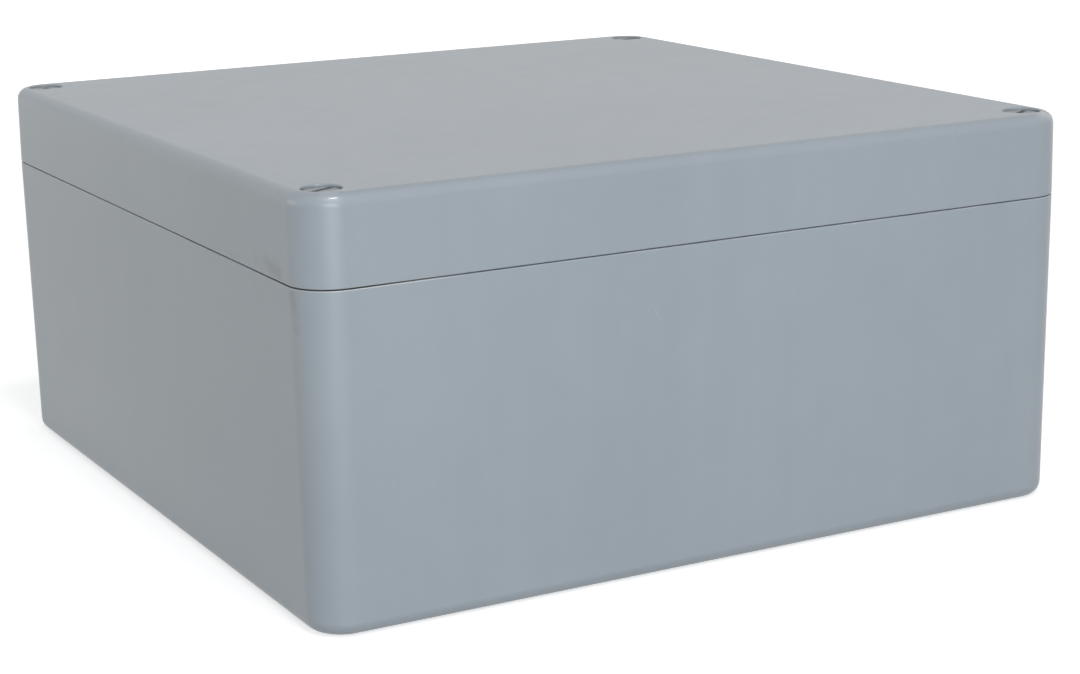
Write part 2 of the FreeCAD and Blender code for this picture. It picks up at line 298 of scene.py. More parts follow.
# moulded glass-fibre polyester, silver grey
mouldedLook = {
    "tone": grey(0.304, 0.342, 0.376),
    "darkTone": grey(0.284, 0.321, 0.354),
    # pale edge tone, partly a bare edge and partly a painted highlight
    "bareAndHighlightTone": grey(0.56, 0.58, 0.59),
    "fibreTone": grey(0.375, 0.412, 0.445),
    "scuffTone": grey(0.46, 0.49, 0.52),
    "smudgeTone": grey(0.225, 0.25, 0.27),
    # near-black painted shade for the joint
    "jointShadeTone": grey(0.07, 0.066, 0.06),
    "roughness": 0.38,
    "shine": 0.45,
    "refraction": 1.5,
    "coat": 0.05,
    "coatRoughness": 0.1,
    "roughSpread": (-0.015, 0.02),
    "roughRange": (0.3, 0.7),
    "cloud": (9, 3),
    "cloudShow": 0.6,
    "mottle": (75, 4),
    "mottleShow": 0.18,
    "flow": (9 * mm, 9 * mm, 140 * mm),
    "flowNoise": (1, 3),
    "flowShow": 0.22,
    "shadeRange": (0.38, 0.62),
    "fibre": (7 * mm, 0.8 * mm, 0.8 * mm),
    "fibreTurns": [(0.3, 0.5, 0.7), (1.9, 0.9, 1.2), (0.8, 1.3, 2.2), (2.5, 0.4, 0.2)],
    "fibreNoise": (1, 1),
    "fibreRange": (0.60, 0.70),
    "fibrePatch": (24, 2),
    "fibrePatchRange": (0.42, 0.62),
    "fibreShow": 0.06,
    "fibreHeight": 0.002 * mm,
    "peel": (420, 2),
    "peelHeight": 0.003 * mm,
    "wearAndHighlight": (38, 4),
    "wornRange": (0.47, 0.60),
    "wornShow": 0.3,
    "edgeWidth": 0.55,
    "edgeSoft": 0.2,
    # how far the joint's painted shade reaches from the parting
    "jointShadeWidth": 0.12,
    "markBreaks": (0.35, 0.55),
}
# a few light scuffs and dull smudges, each with two ends, half its width and its strength
baseMarks = {
    "scuffTone": [((-21.3, -127.3, 77.7), (-19.4, -127.3, 74.9), 0.26, 0.4),
                  ((-19.4, -127.3, 74.9), (-18.1, -127.3, 74.4), 0.25, 0.4),
                  ((-7.8, -127.3, 73.4), (-7.3, -127.3, 72.8), 0.3, 0.4),
                  ((62, -127.2, 66), (62.4, -127.2, 64.2), 0.22, 0.3)],
    "smudgeTone": [((-124.7, -97, 88), (-124.7, -92, 91.5), 3.2, 0.16),
                   ((-124.4, -117.5, 93), (-124.1, -118.5, 84), 2.6, 0.6)],
}
lidMarks = {
    "scuffTone": [((-20, -40, 120), (-14, -37, 120), 0.22, 0.25)],
    "smudgeTone": [((-124.9, -110, 97.6), (-124.9, -95, 98.6), 3.8, 0.75),
                   ((-124.9, -88, 97), (-124.9, -74, 96.4), 1.6, 0.22)],
}
# painted shade darkens the joint round the front left corner, as if its gap were wider there
jointShadeStretch = ((-121, -124, 95), (-121.1, -124, 95), 46, 1.2)
# the joint's edge is palest beside that corner: partly rubbed bare, partly a painted highlight
bareHighlightStretch = ((-114, -127, 95), (-96, -127, 95), 20, 1.0)
# the lid's corners are rubbed smoother where hands lift it
rubbedCorner = ((115.0, 125.8, 119.4), (118.0, 124.8, 119.4), 2.8, 1.0)


def markStrength(tree, place, start, end, halfWidth, strength):
    # distance from a short line, so the mark is a soft stroke
    along = Vector(end) - Vector(start)
    toEnd = addNode(tree, "ShaderNodeVectorMath", {0: place, 1: Vector(start) * mm},
                    operation="SUBTRACT").outputs[0]
    share = addNode(tree, "ShaderNodeVectorMath",
                    {0: toEnd, 1: along / (along.length_squared * mm)}, operation="DOT_PRODUCT")
    kept = maths(tree, "MULTIPLY", share.outputs["Value"], 1.0, clamp=True)
    onLine = addNode(tree, "ShaderNodeVectorMath", {0: along * mm, "Scale": kept},
                     operation="SCALE").outputs[0]
    away = addNode(tree, "ShaderNodeVectorMath", {0: toEnd, 1: onLine}, operation="DISTANCE")
    return ramp(tree, away.outputs["Value"], halfWidth * mm, 0, 0, strength, smooth=True)


def beyondCorners(tree, place):
    # how far a place lies outside the rectangle through the four corner centres
    radius = layout["cornerRound"]
    aboveAll = 1000
    inner = (layout["width"] / 2 - radius, layout["depth"] / 2 - radius, aboveAll)
    far = addNode(tree, "ShaderNodeVectorMath", {0: place}, operation="ABSOLUTE").outputs[0]
    far = addNode(tree, "ShaderNodeVectorMath", {0: far, 1: Vector(inner) * mm},
                  operation="SUBTRACT").outputs[0]
    return addNode(tree, "ShaderNodeVectorMath", {0: far, 1: (0, 0, 0)},
                   operation="MAXIMUM").outputs[0]


def mouldedMaterial(name, edgeFrom, edgeTo, bareAndHighlightShow, marks, rubbed=None):
    look = mouldedLook
    material, tree = newMaterial(name)
    place = objectPlace(tree)
    mottle = noise(tree, place, *look["mottle"])
    flow = noise(tree, laidOut(tree, place, look["flow"]), *look["flowNoise"])
    shade = maths(tree, "MULTIPLY", noise(tree, place, *look["cloud"]), look["cloudShow"])
    shade = maths(tree, "ADD", shade, maths(tree, "MULTIPLY", mottle, look["mottleShow"]))
    shade = maths(tree, "ADD", shade, maths(tree, "MULTIPLY", flow, look["flowShow"]))
    colour = tint(tree, ramp(tree, shade, *look["shadeRange"]), look["darkTone"], look["tone"])

    # strands of glass that show faintly through the resin, in patches
    strands = None
    for turn in look["fibreTurns"]:
        strand = noise(tree, laidOut(tree, place, look["fibre"], turn), *look["fibreNoise"])
        strand = ramp(tree, strand, *look["fibreRange"])
        strands = strand if strands is None else maths(tree, "MAXIMUM", strands, strand)
    patch = ramp(tree, noise(tree, place, *look["fibrePatch"]), *look["fibrePatchRange"])
    strands = maths(tree, "MULTIPLY", strands, patch)
    colour = tint(tree, maths(tree, "MULTIPLY", strands, look["fibreShow"]), colour,
                  look["fibreTone"])

    # pale edge along the parting, rubbed through in places: partly a bare edge, partly a painted
    # highlight, strongest beside the front left corner
    height = addNode(tree, "ShaderNodeSeparateXYZ", {"Vector": place}).outputs["Z"]
    near = ramp(tree, height, edgeFrom * mm, edgeTo * mm)
    beyond = beyondCorners(tree, place)
    reach = addNode(tree, "ShaderNodeVectorMath", {0: beyond}, operation="LENGTH").outputs["Value"]
    outer = layout["cornerRound"] - look["edgeWidth"]
    outside = ramp(tree, reach, outer * mm, (outer + look["edgeSoft"]) * mm)
    near = maths(tree, "MULTIPLY", near, outside)
    wearAndHighlight = noise(tree, place, *look["wearAndHighlight"])
    wearAndHighlight = ramp(tree, wearAndHighlight, *look["wornRange"], 0, look["wornShow"])
    wearAndHighlight = maths(tree, "MAXIMUM", wearAndHighlight, markStrength(tree, place, *bareHighlightStretch))
    bareAndHighlight = maths(tree, "MULTIPLY", near, wearAndHighlight)
    colour = tint(tree, maths(tree, "MULTIPLY", bareAndHighlight, bareAndHighlightShow), colour, look["bareAndHighlightTone"])

    # painted shade inside the joint, closer to the parting than the pale edge
    tight = math.copysign(look["jointShadeWidth"], edgeTo - edgeFrom)
    jointShade = ramp(tree, height, (edgeTo + tight / 2) * mm, (edgeTo + tight) * mm)
    jointShade = maths(tree, "MULTIPLY", jointShade, outside)
    jointShade = maths(tree, "MULTIPLY", jointShade, markStrength(tree, place, *jointShadeStretch), clamp=True)
    colour = tint(tree, jointShade, colour, look["jointShadeTone"])

    for tone, strokes in marks.items():
        for start, end, halfWidth, strength in strokes:
            mark = markStrength(tree, place, start, end, halfWidth, strength)
            broken = maths(tree, "MULTIPLY", mark, ramp(tree, mottle, *look["markBreaks"]))
            colour = tint(tree, broken, colour, look[tone])

    peel = noise(tree, place, *look["peel"])
    bump = addNode(tree, "ShaderNodeBump", {"Height": peel, "Distance": look["peelHeight"],
                                            "Strength": 1.0})
    bump = addNode(tree, "ShaderNodeBump", {"Height": strands, "Distance": look["fibreHeight"],
                                            "Strength": 1.0, "Normal": bump.outputs[0]})
    rough = ramp(tree, mottle, *look["roughRange"],
                 *[look["roughness"] + spread for spread in look["roughSpread"]])
    polish = look["coat"]
    if rubbed:
        # all four corners are alike, so the place is taken without its signs
        mirrored = addNode(tree, "ShaderNodeVectorMath", {0: place}, operation="ABSOLUTE")
        mark = markStrength(tree, mirrored.outputs[0], *rubbed)
        polish = maths(tree, "MAXIMUM", mark, look["coat"])
    surface(tree, {"Base Color": colour, "Roughness": rough, "Normal": bump.outputs[0],
                   "IOR": look["refraction"], "Specular IOR Level": look["shine"],
                   "Coat Weight": polish, "Coat Roughness": look["coatRoughness"]})
    return material


# each shell's pale edge along the parting is partly a painted highlight
baseMoulding = mouldedMaterial("mouldedBase", edgeFrom=94.45, edgeTo=94.7, bareAndHighlightShow=0.75,
                               marks=baseMarks)
lidMoulding = mouldedMaterial("mouldedLid", edgeFrom=95.55, edgeTo=95.3, bareAndHighlightShow=0.25,
                              marks=lidMarks, rubbed=rubbedCorner)


# stainless steel, turned round each screw's own axis
steelLook = {
    "tone": grey(0.44, 0.45, 0.455),
    "dullTone": grey(0.31, 0.32, 0.325),
    "dustTone": grey(0.42, 0.43, 0.43),
    "dustShow": 0.75,
    "dustHeights": (119.28, 119.05),
    "dustFloor": (117, 117.2),
    "dustReach": (4.8, 4.6),
    "edgeTone": grey(0.62, 0.63, 0.63),
    "roughness": 0.30,
    "roughSpread": (-0.06, 0.12),
    "rings": (6500, 2),
    "ringRange": (0.3, 0.7),
    "ringHeight": 0.014 * mm,
    "blotch": (420, 4),
    "blotchRange": (0.35, 0.7),
}


def screwPlace(tree, x, y):
    # all four screws mirror about the middle, so one pattern fits them
    place = addNode(tree, "ShaderNodeVectorMath", {0: objectPlace(tree)}, operation="ABSOLUTE")
    return addNode(tree, "ShaderNodeVectorMath", {0: place.outputs[0], 1: (x * mm, y * mm, 0)},
                   operation="SUBTRACT").outputs[0]


def steelMaterial():
    look = steelLook
    material, tree = newMaterial("turnedSteel")
    place = screwPlace(tree, layout["screwX"], layout["screwY"])
    flat = addNode(tree, "ShaderNodeVectorMath", {0: place, 1: (1, 1, 0)}, operation="MULTIPLY")
    radius = addNode(tree, "ShaderNodeVectorMath", {0: flat.outputs[0]}, operation="LENGTH")
    height = addNode(tree, "ShaderNodeSeparateXYZ", {"Vector": place}).outputs["Z"]
    tool = addNode(tree, "ShaderNodeCombineXYZ", {"X": radius.outputs["Value"], "Y": height})
    rings = noise(tree, tool.outputs[0], *look["rings"])
    blotch = noise(tree, place, *look["blotch"])
    colour = tint(tree, ramp(tree, blotch, *look["blotchRange"]), look["tone"], look["dullTone"])
    rough = ramp(tree, rings, *look["ringRange"],
                 *[look["roughness"] + spread for spread in look["roughSpread"]])

    # pale dust lies in the slots
    high, low = look["dustHeights"]
    wide, narrow = look["dustReach"]
    none, full = look["dustFloor"]
    dust = maths(tree, "MULTIPLY", ramp(tree, height, high * mm, low * mm, 0, look["dustShow"]),
                 ramp(tree, radius.outputs["Value"], wide * mm, narrow * mm))
    dust = maths(tree, "MULTIPLY", dust, ramp(tree, height, none * mm, full * mm))
    colour = tint(tree, dust, colour, look["dustTone"])
    metal = maths(tree, "SUBTRACT", 1.0, dust)
    bump = addNode(tree, "ShaderNodeBump", {"Height": rings, "Distance": look["ringHeight"],
                                            "Strength": 1.0})
    surface(tree, {"Base Color": colour, "Metallic": metal, "Roughness": rough,
                   "Normal": bump.outputs[0], "Specular Tint": look["edgeTone"]})
    return material


brassLook = {
    "tone": grey(0.62, 0.42, 0.16),
    "dullTone": grey(0.45, 0.29, 0.12),
    "stain": (260, 4),
    "stainRange": (0.35, 0.68),
    "roughRange": (0.3, 0.7, 0.26, 0.42),
    "fine": (2600, 2),
    "fineHeight": 0.01 * mm,
}


def brassMaterial():
    look = brassLook
    material, tree = newMaterial("turnedBrass")
    place = objectPlace(tree)
    stain = noise(tree, place, *look["stain"])
    fine = noise(tree, place, *look["fine"])
    colour = tint(tree, ramp(tree, stain, *look["stainRange"]), look["tone"], look["dullTone"])
    rough = ramp(tree, stain, *look["roughRange"])
    bump = addNode(tree, "ShaderNodeBump", {"Height": fine, "Distance": look["fineHeight"]})
    surface(tree, {"Base Color": colour, "Metallic": 1.0, "Roughness": rough,
                   "Normal": bump.outputs[0]})
    return material


rubberLook = {
    "tone": grey(0.085, 0.088, 0.092),
    "dustTone": grey(0.13, 0.132, 0.135),
    "dust": (90, 4),
    "dustRange": (0.4, 0.75),
    "cell": (1500, 3),
    "cellHeight": 0.05 * mm,
    "roughness": 0.72,
    "shine": 0.35,
}


def rubberMaterial():
    look = rubberLook
    material, tree = newMaterial("siliconeRubber")
    place = objectPlace(tree)
    cell = noise(tree, place, *look["cell"])
    dust = noise(tree, place, *look["dust"])
    colour = tint(tree, ramp(tree, dust, *look["dustRange"]), look["tone"], look["dustTone"])
    bump = addNode(tree, "ShaderNodeBump", {"Height": cell, "Distance": look["cellHeight"]})
    surface(tree, {"Base Color": colour, "Roughness": look["roughness"],
                   "Normal": bump.outputs[0], "Specular IOR Level": look["shine"]})
    return material


nylonLook = {
    "tone": grey(0.70, 0.68, 0.61),
    "dullTone": grey(0.60, 0.585, 0.53),
    "cloud": (320, 3),
    "cloudHeight": 0.02 * mm,
    "roughness": 0.45,
    "depth": 0.8 * mm,
    "depthShow": 0.15,
}


def nylonMaterial():
    look = nylonLook
    material, tree = newMaterial("naturalNylon")
    cloud = noise(tree, objectPlace(tree), *look["cloud"])
    colour = tint(tree, cloud, look["tone"], look["dullTone"])
    bump = addNode(tree, "ShaderNodeBump", {"Height": cloud, "Distance": look["cloudHeight"]})
    surface(tree, {"Base Color": colour, "Roughness": look["roughness"],
                   "Normal": bump.outputs[0], "Subsurface Weight": look["depthShow"],
                   "Subsurface Scale": look["depth"]})
    return material


steel = steelMaterial()
brass = brassMaterial()
rubber = rubberMaterial()
nylon = nylonMaterial()
print("materials made")


# base: one shell with its rim, seal rib, corner columns, wells and bosses
baseSizes = {
    "rimRound": 0.4,
    "rimSteps": 3,
    "outerDraft": 0.5,
    "bottomRound": 4,
    "bottomSteps": 6,
    "ribWidth": 2.2,
    "ribTop": 98.3,
    "ribFoot": 85,
    "ribRound": 0.35,
    "ribSteps": 3,
    "floor": 5,
    "innerDraft": 1,
    "floorRound": 3,
    "floorSteps": 5,
    "cavityAbove": 10,
    "mouth": 0.3,
    "wellRadius": 6.5,
    "wellFloor": 8,
    "wellEdge": 0.6,
    "holeRadius": 3.5,
    "insertRadius": 4.5,
    "insertFloor": 82.5,
    "tipRadius": 3.05,
    "tipFloor": 76.5,
    "tipCone": 1.5,
    "bossRadius": 7.5,
    "bossTop": 17,
    "bossDraft": 1.5,
    "bossFoot": 1.5,
    "footSteps": 5,
    "bossRoot": 1,
    "bossEdge": 0.5,
    "bossSoft": 0.15,
    "plateFloor": 7,
    "plateTipRadius": 2.5,
    "plateTipFloor": 5.5,
    "plateAbove": 1,
    "segments": 12,
    "boreSegments": 48,
}


def makeBase():
    s = baseSizes
    rim = layout["rim"]
    girdle = rim - s["rimRound"]
    wall = girdle - s["bottomRound"]
    outside = ([drafted(wall, s["outerDraft"])]
               + quarterTurn(s["bottomRound"], s["bottomSteps"]))
    block = stackedSolid(shellOutline(-layout["inset"]), girdle, outside,
                         quarterTurn(s["rimRound"], s["rimSteps"]), s["segments"])
    piece = newPiece("baseShell", block)

    ribSide = s["ribTop"] - s["ribRound"]
    rib = stackedSolid(cavityOutline(s["ribWidth"]), ribSide, [(0, ribSide - s["ribFoot"])],
                       quarterTurn(s["ribRound"], s["ribSteps"]), s["segments"])
    combine(piece, "UNION", rib)

    straight = s["ribTop"] - s["ribRound"] - rim
    drop = rim - s["floor"] - s["floorRound"]
    inside = (flare(s["ribRound"], s["ribSteps"])
              + [(0, straight), drafted(drop, s["innerDraft"])]
              + quarterTurn(s["floorRound"], s["floorSteps"]))
    cavity = stackedSolid(cavityOutline(s["ribRound"]), s["ribTop"], inside,
                          [(0, s["cavityAbove"])], s["segments"])
    combine(piece, "DIFFERENCE", cavity)

    neck = (s["bossRadius"]
            - (s["bossTop"] - s["floor"]) * math.tan(math.radians(s["bossDraft"])))
    root = s["floor"] - s["bossRoot"]
    turns = [math.pi / 2 * k / s["footSteps"] for k in range(s["footSteps"] + 1)]
    foot = [(s["bossRadius"] + s["bossFoot"] * (1 - math.sin(turn)),
             s["floor"] + s["bossFoot"] * (1 - math.cos(turn))) for turn in turns]
    boss = [(0, root), (foot[0][0], root)] + foot
    boss += [(neck, s["bossTop"] - s["bossEdge"]),
             (neck - s["bossSoft"], s["bossTop"] - s["bossSoft"]),
             (neck - s["bossEdge"], s["bossTop"]), (0, s["bossTop"])]
    combine(piece, "UNION", fourTimes(spunSolid(boss, s["boreSegments"]),
                                      layout["plateX"], layout["plateY"]))

    mouth = s["mouth"]
    well = [(0, -mouth), (s["holeRadius"] + 2 * mouth, -mouth), (s["holeRadius"], mouth),
            (s["holeRadius"], s["wellFloor"]),
            (s["wellRadius"] - s["wellEdge"], s["wellFloor"]),
            (s["wellRadius"], s["wellFloor"] + s["wellEdge"]), (s["wellRadius"], rim - mouth),
            (s["wellRadius"] + 2 * mouth, rim + mouth), (0, rim + mouth)]
    combine(piece, "DIFFERENCE", fourTimes(spunSolid(well, s["boreSegments"]),
                                           layout["fixingX"], layout["screwY"]))
    seat = [(0, s["tipFloor"] - s["tipCone"]), (s["tipRadius"], s["tipFloor"]),
            (s["tipRadius"], s["insertFloor"]), (s["insertRadius"], s["insertFloor"]),
            (s["insertRadius"], rim - mouth), (s["insertRadius"] + 2 * mouth, rim + mouth),
            (0, rim + mouth)]
    combine(piece, "DIFFERENCE", fourTimes(spunSolid(seat, s["boreSegments"]),
                                           layout["screwX"], layout["screwY"]))
    above = s["bossTop"] + s["plateAbove"]
    plate = [(0, s["plateTipFloor"]), (s["plateTipRadius"], s["plateTipFloor"]),
             (s["plateTipRadius"], s["plateFloor"]), (s["insertRadius"], s["plateFloor"]),
             (s["insertRadius"], above), (0, above)]
    combine(piece, "DIFFERENCE", fourTimes(spunSolid(plate, s["boreSegments"]),
                                           layout["plateX"], layout["plateY"]))
    finishPiece(piece, "base", "enclosure_base", baseMoulding)


# lid: one shell with the gasket's groove and four stepped screw holes
lidSizes = {
    "top": 120,
    "topRound": 3.5,
    "topSteps": 7,
    "rimRound": 0.4,
    "rimSteps": 3,
    "outerDraft": 0.5,
    "hollowIn": 3,
    "hollowBelow": 5,
    "lipRound": 0.3,
    "lipSteps": 2,
    "ceiling": 115,
    "innerDraft": 1,
    "ceilingRound": 1.5,
    "ceilingSteps": 4,
    "grooveOut": 3,
    "grooveWidth": 3.8,
    "grooveTop": 100.8,
    "grooveBelow": 2,
    "recessRadius": 5.6,
    "recessFloor": 113.9,
    "recessEdge": 0.3,
    "recessMouth": [(0, -0.42), (0.04, -0.25), (0.15, -0.1), (0.35, 0), (0.7, 0.1)],
    "webRadius": 3.3,
    "webUnder": 110.9,
    "retainerRadius": 5.1,
    "mouth": 0.3,
    "segments": 12,
    "boreSegments": 64,
}


def makeLid():
    s = lidSizes
    rim = layout["lidRim"]
    girdle = rim + s["rimRound"]
    wall = s["top"] - s["topRound"] - girdle
    outside = [drafted(wall, s["outerDraft"])] + quarterTurn(s["topRound"], s["topSteps"])
    block = stackedSolid(shellOutline(-layout["inset"]), girdle,
                         quarterTurn(s["rimRound"], s["rimSteps"]), outside, s["segments"])
    piece = newPiece("lidShell", block)

    rise = s["ceiling"] - s["ceilingRound"] - rim - s["lipRound"]
    inside = (flare(s["lipRound"], s["lipSteps"]) + [drafted(rise, s["innerDraft"])]
              + quarterTurn(s["ceilingRound"], s["ceilingSteps"]))
    hollow = stackedSolid(cavityOutline(s["lipRound"] - s["hollowIn"]), rim,
                          [(0, s["hollowBelow"])], inside, s["segments"])
    combine(piece, "DIFFERENCE", hollow)

    groove = loopSolid(cavityOutline(s["grooveOut"]), rim - s["grooveBelow"], s["grooveWidth"],
                       s["grooveTop"] - rim + s["grooveBelow"], s["segments"])
    combine(piece, "DIFFERENCE", groove)

    mouth = s["mouth"]
    stepped = [(0, rim - mouth), (s["retainerRadius"] + 2 * mouth, rim - mouth),
               (s["retainerRadius"], rim + mouth), (s["retainerRadius"], s["webUnder"]),
               (s["webRadius"], s["webUnder"]), (s["webRadius"], s["recessFloor"]),
               (s["recessRadius"] - s["recessEdge"], s["recessFloor"]),
               (s["recessRadius"], s["recessFloor"] + s["recessEdge"])]
    stepped += [(s["recessRadius"] + out, s["top"] + up) for out, up in s["recessMouth"]]
    stepped.append((0, stepped[-1][1]))
    combine(piece, "DIFFERENCE", fourTimes(spunSolid(stepped, s["boreSegments"]),
                                           layout["screwX"], layout["screwY"]))
    finishPiece(piece, "lid", "lid", lidMoulding)


# gasket: endless loop with rounded edges
gasketSizes = {
    "outward": 2.9,
    "width": 3.6,
    "low": 98.3,
    "thickness": 2.5,
    "round": 0.6,
    "roundSteps": 4,
    "squareFromRadians": 1,
    "segments": 12,
}


def makeGasket():
    s = gasketSizes
    bm = loopSolid(cavityOutline(s["outward"]), s["low"], s["width"], s["thickness"],
                   s["segments"])
    bm.normal_update()
    square = [edge for edge in bm.edges if edge.calc_face_angle(0) > s["squareFromRadians"]]
    bmesh.ops.bevel(bm, geom=square, affect="EDGES", offset_type="OFFSET",
                    offset=s["round"] * mm, segments=s["roundSteps"], profile=0.5, material=-1)
    finishPiece(newPiece("gasketLoop", bm), "lid", "gasket", rubber)


# captive cheese head screw, thread and all
screwSizes = {
    "seat": 115.5,
    "length": 35,
    "threadLength": 14,
    "coreRadius": 2.44,
    "threadRadius": 2.99,
    "waistRadius": 2.5,
    "pitch": 1,
    "headRadius": 5,
    "headHeight": 3.9,
    "headRound": 0.55,
    "headCorner": [(0, 0), (0.04, 0.21), (0.16, 0.39), (0.34, 0.51), (0.55, 0.55)],
    "headEdge": 0.15,
    "tipEdge": (0.5, 0.6),
    "neckTaper": 0.3,
    "neckFillet": [(0, -0.3), (0.1, -0.1), (0.3, 0)],
    "ridge": {"sunk": 0.08, "halfFoot": 0.46, "halfCrest": 0.07, "start": 0.8, "ends": 1.6},
    "slotWidth": 1.6,
    "slotDepth": 2,
    "slotTurn": {"front_left": 24, "front_right": 32, "back_left": 70, "back_right": 8},
    "segments": 64,
    "stepsPerTurn": 28,
}


def threadRidge(inner, outer, halfFoot, halfCrest, low, turns, pitch, steps):
    bm = bmesh.new()
    section = [(inner, -halfFoot), (outer, -halfCrest), (outer, halfCrest), (inner, halfFoot)]
    spots = [bm.verts.new((radius * mm, 0, (low + height) * mm)) for radius, height in section]
    lines = [bm.edges.new((spots[k], spots[(k + 1) % 4])) for k in range(4)]
    count = round(turns * steps)
    bmesh.ops.spin(bm, geom=spots + lines, cent=(0, 0, 0), axis=(0, 0, 1),
                   dvec=(0, 0, pitch / steps * mm), angle=2 * math.pi * turns, steps=count)
    ends = [edge for edge in bm.edges if edge.is_boundary]
    bmesh.ops.holes_fill(bm, edges=ends, sides=4)
    bmesh.ops.recalc_face_normals(bm, faces=bm.faces[:])
    return bm


def joinInto(bm, other):
    mesh = bpy.data.meshes.new("joined")
    other.to_mesh(mesh)
    other.free()
    bm.from_mesh(mesh)
    bpy.data.meshes.remove(mesh)


def makeScrew(place, signX, signY):
    s = screwSizes
    seat = s["seat"]
    tip = seat - s["length"]
    neck = tip + s["threadLength"]
    top = seat + s["headHeight"]
    inward, upward = s["tipEdge"]
    shape = [(0, tip), (s["coreRadius"] - inward, tip), (s["coreRadius"], tip + upward),
             (s["coreRadius"], neck - s["neckTaper"]), (s["waistRadius"], neck)]
    shape += [(s["waistRadius"] + out, seat + up) for out, up in s["neckFillet"]]
    shape += [(s["headRadius"] - s["headEdge"], seat), (s["headRadius"], seat + s["headEdge"])]
    shape += [(s["headRadius"] - reach, top - s["headRound"] + rise)
              for reach, rise in s["headCorner"]]
    shape.append((0, top))
    piece = newPiece("screw_" + place, spunSolid(shape, s["segments"]))
    slot = bmesh.new()
    bmesh.ops.create_cube(slot, size=1)
    bmesh.ops.scale(slot, verts=slot.verts[:], vec=(4 * s["headRadius"] * mm, s["slotWidth"] * mm,
                                                    2 * s["slotDepth"] * mm))
    bmesh.ops.rotate(slot, verts=slot.verts[:], cent=(0, 0, 0),
                     matrix=Matrix.Rotation(math.radians(s["slotTurn"][place]), 3, "Z"))
    bmesh.ops.translate(slot, verts=slot.verts[:], vec=(0, 0, top * mm))
    combine(piece, "DIFFERENCE", slot)
    bm = bmesh.new()
    bm.from_mesh(piece.data)
    ridge = s["ridge"]
    turns = (s["threadLength"] - ridge["ends"]) / s["pitch"]
    joinInto(bm, threadRidge(s["coreRadius"] - ridge["sunk"], s["threadRadius"],
                             ridge["halfFoot"], ridge["halfCrest"], tip + ridge["start"],
                             turns, s["pitch"], s["stepsPerTurn"]))
    moveBy(bm, bm.verts[:], signX * layout["screwX"], signY * layout["screwY"])
    bm.to_mesh(piece.data)
    bm.free()
    finishPiece(piece, "screw_" + place, "lid_screw_" + place, steel)


# washers, under the head and under the lid's web
washerSizes = {
    "screwWasher": {"bore": 3.2, "outer": 5.5, "low": 113.9, "thickness": 1.6, "edge": 0.2},
    "retainer": {"bore": 2.6, "outer": 5, "low": 109.4, "thickness": 1.5, "edge": 0.25},
    "softShare": 0.3,
    "segments": 56,
}


def makeWasher(kind, body, node, material, signX, signY):
    s = washerSizes[kind]
    edge = s["edge"]
    soft = edge * washerSizes["softShare"]
    low = s["low"]
    high = low + s["thickness"]
    ring = [(s["bore"], low + soft), (s["bore"] + soft, low), (s["outer"] - edge, low),
            (s["outer"] - soft, low + soft), (s["outer"], low + edge), (s["outer"], high - edge),
            (s["outer"] - soft, high - soft), (s["outer"] - edge, high),
            (s["bore"] + soft, high), (s["bore"], high - soft)]
    bm = spunSolid(ring, washerSizes["segments"])
    moveBy(bm, bm.verts[:], signX * layout["screwX"], signY * layout["screwY"])
    finishPiece(newPiece("show_" + node, bm), body, node, material)


# threaded brass inserts
insertSizes = {
    "screw": {"top": 94.5, "length": 12, "bore": 3.05, "mouth": 0.4},
    "plate": {"top": 17, "length": 10, "bore": 3.05, "mouth": 0.4},
    "radius": 4.5,
    "lowEdge": 0.3,
    "topEdge": 0.15,
    "crest": 2.53,
    "ridge": {"sunk": 0.08, "halfFoot": 0.44, "halfCrest": 0.09, "start": 0.8, "ends": 1.8},
    "pitch": 1,
    "segments": 48,
    "stepsPerTurn": 28,
}


def makeInsert(kind, place, x, y, signX, signY):
    s = insertSizes[kind]
    outer = insertSizes["radius"]
    lowEdge = insertSizes["lowEdge"]
    topEdge = insertSizes["topEdge"]
    ridge = insertSizes["ridge"]
    top = s["top"]
    low = top - s["length"]
    sleeve = [(s["bore"], low), (outer - lowEdge, low), (outer, low + lowEdge),
              (outer, top - topEdge), (outer - topEdge, top), (s["bore"] + s["mouth"], top),
              (s["bore"], top - s["mouth"])]
    bm = spunSolid(sleeve, insertSizes["segments"])
    turns = (s["length"] - ridge["ends"]) / insertSizes["pitch"]
    joinInto(bm, threadRidge(s["bore"] + ridge["sunk"], insertSizes["crest"],
                             ridge["halfFoot"], ridge["halfCrest"], low + ridge["start"],
                             turns, insertSizes["pitch"], insertSizes["stepsPerTurn"]))
    moveBy(bm, bm.verts[:], signX * x, signY * y)
    node = kind + "_insert_" + place
    finishPiece(newPiece("show_" + node, bm), "base", node, brass)


makeBase()
print("base made")
makeLid()
print("lid made")
makeGasket()
for place, (signX, signY) in corners.items():
    makeScrew(place, signX, signY)
    makeWasher("screwWasher", "washer_" + place, "screw_washer_" + place, steel,
               signX, signY)
    makeWasher("retainer", "lid", "retaining_washer_" + place, nylon, signX, signY)
    makeInsert("screw", place, layout["screwX"], layout["screwY"], signX, signY)
    makeInsert("plate", place, layout["plateX"], layout["plateY"], signX, signY)
print("gasket, screws, washers and inserts made")


# camera at the photograph's angle
cameraView = {
    "lens": 79.882,
    "azimuth": -28.452,
    "elevation": 13.801,
    "roll": -1.096,
    "distance": 784.104,
    "target": (0, 0, 60),
    "right": 10.414,
    "up": -18.59,
    "sensorWidth": 36,
    "clipStart": 0.01,
}


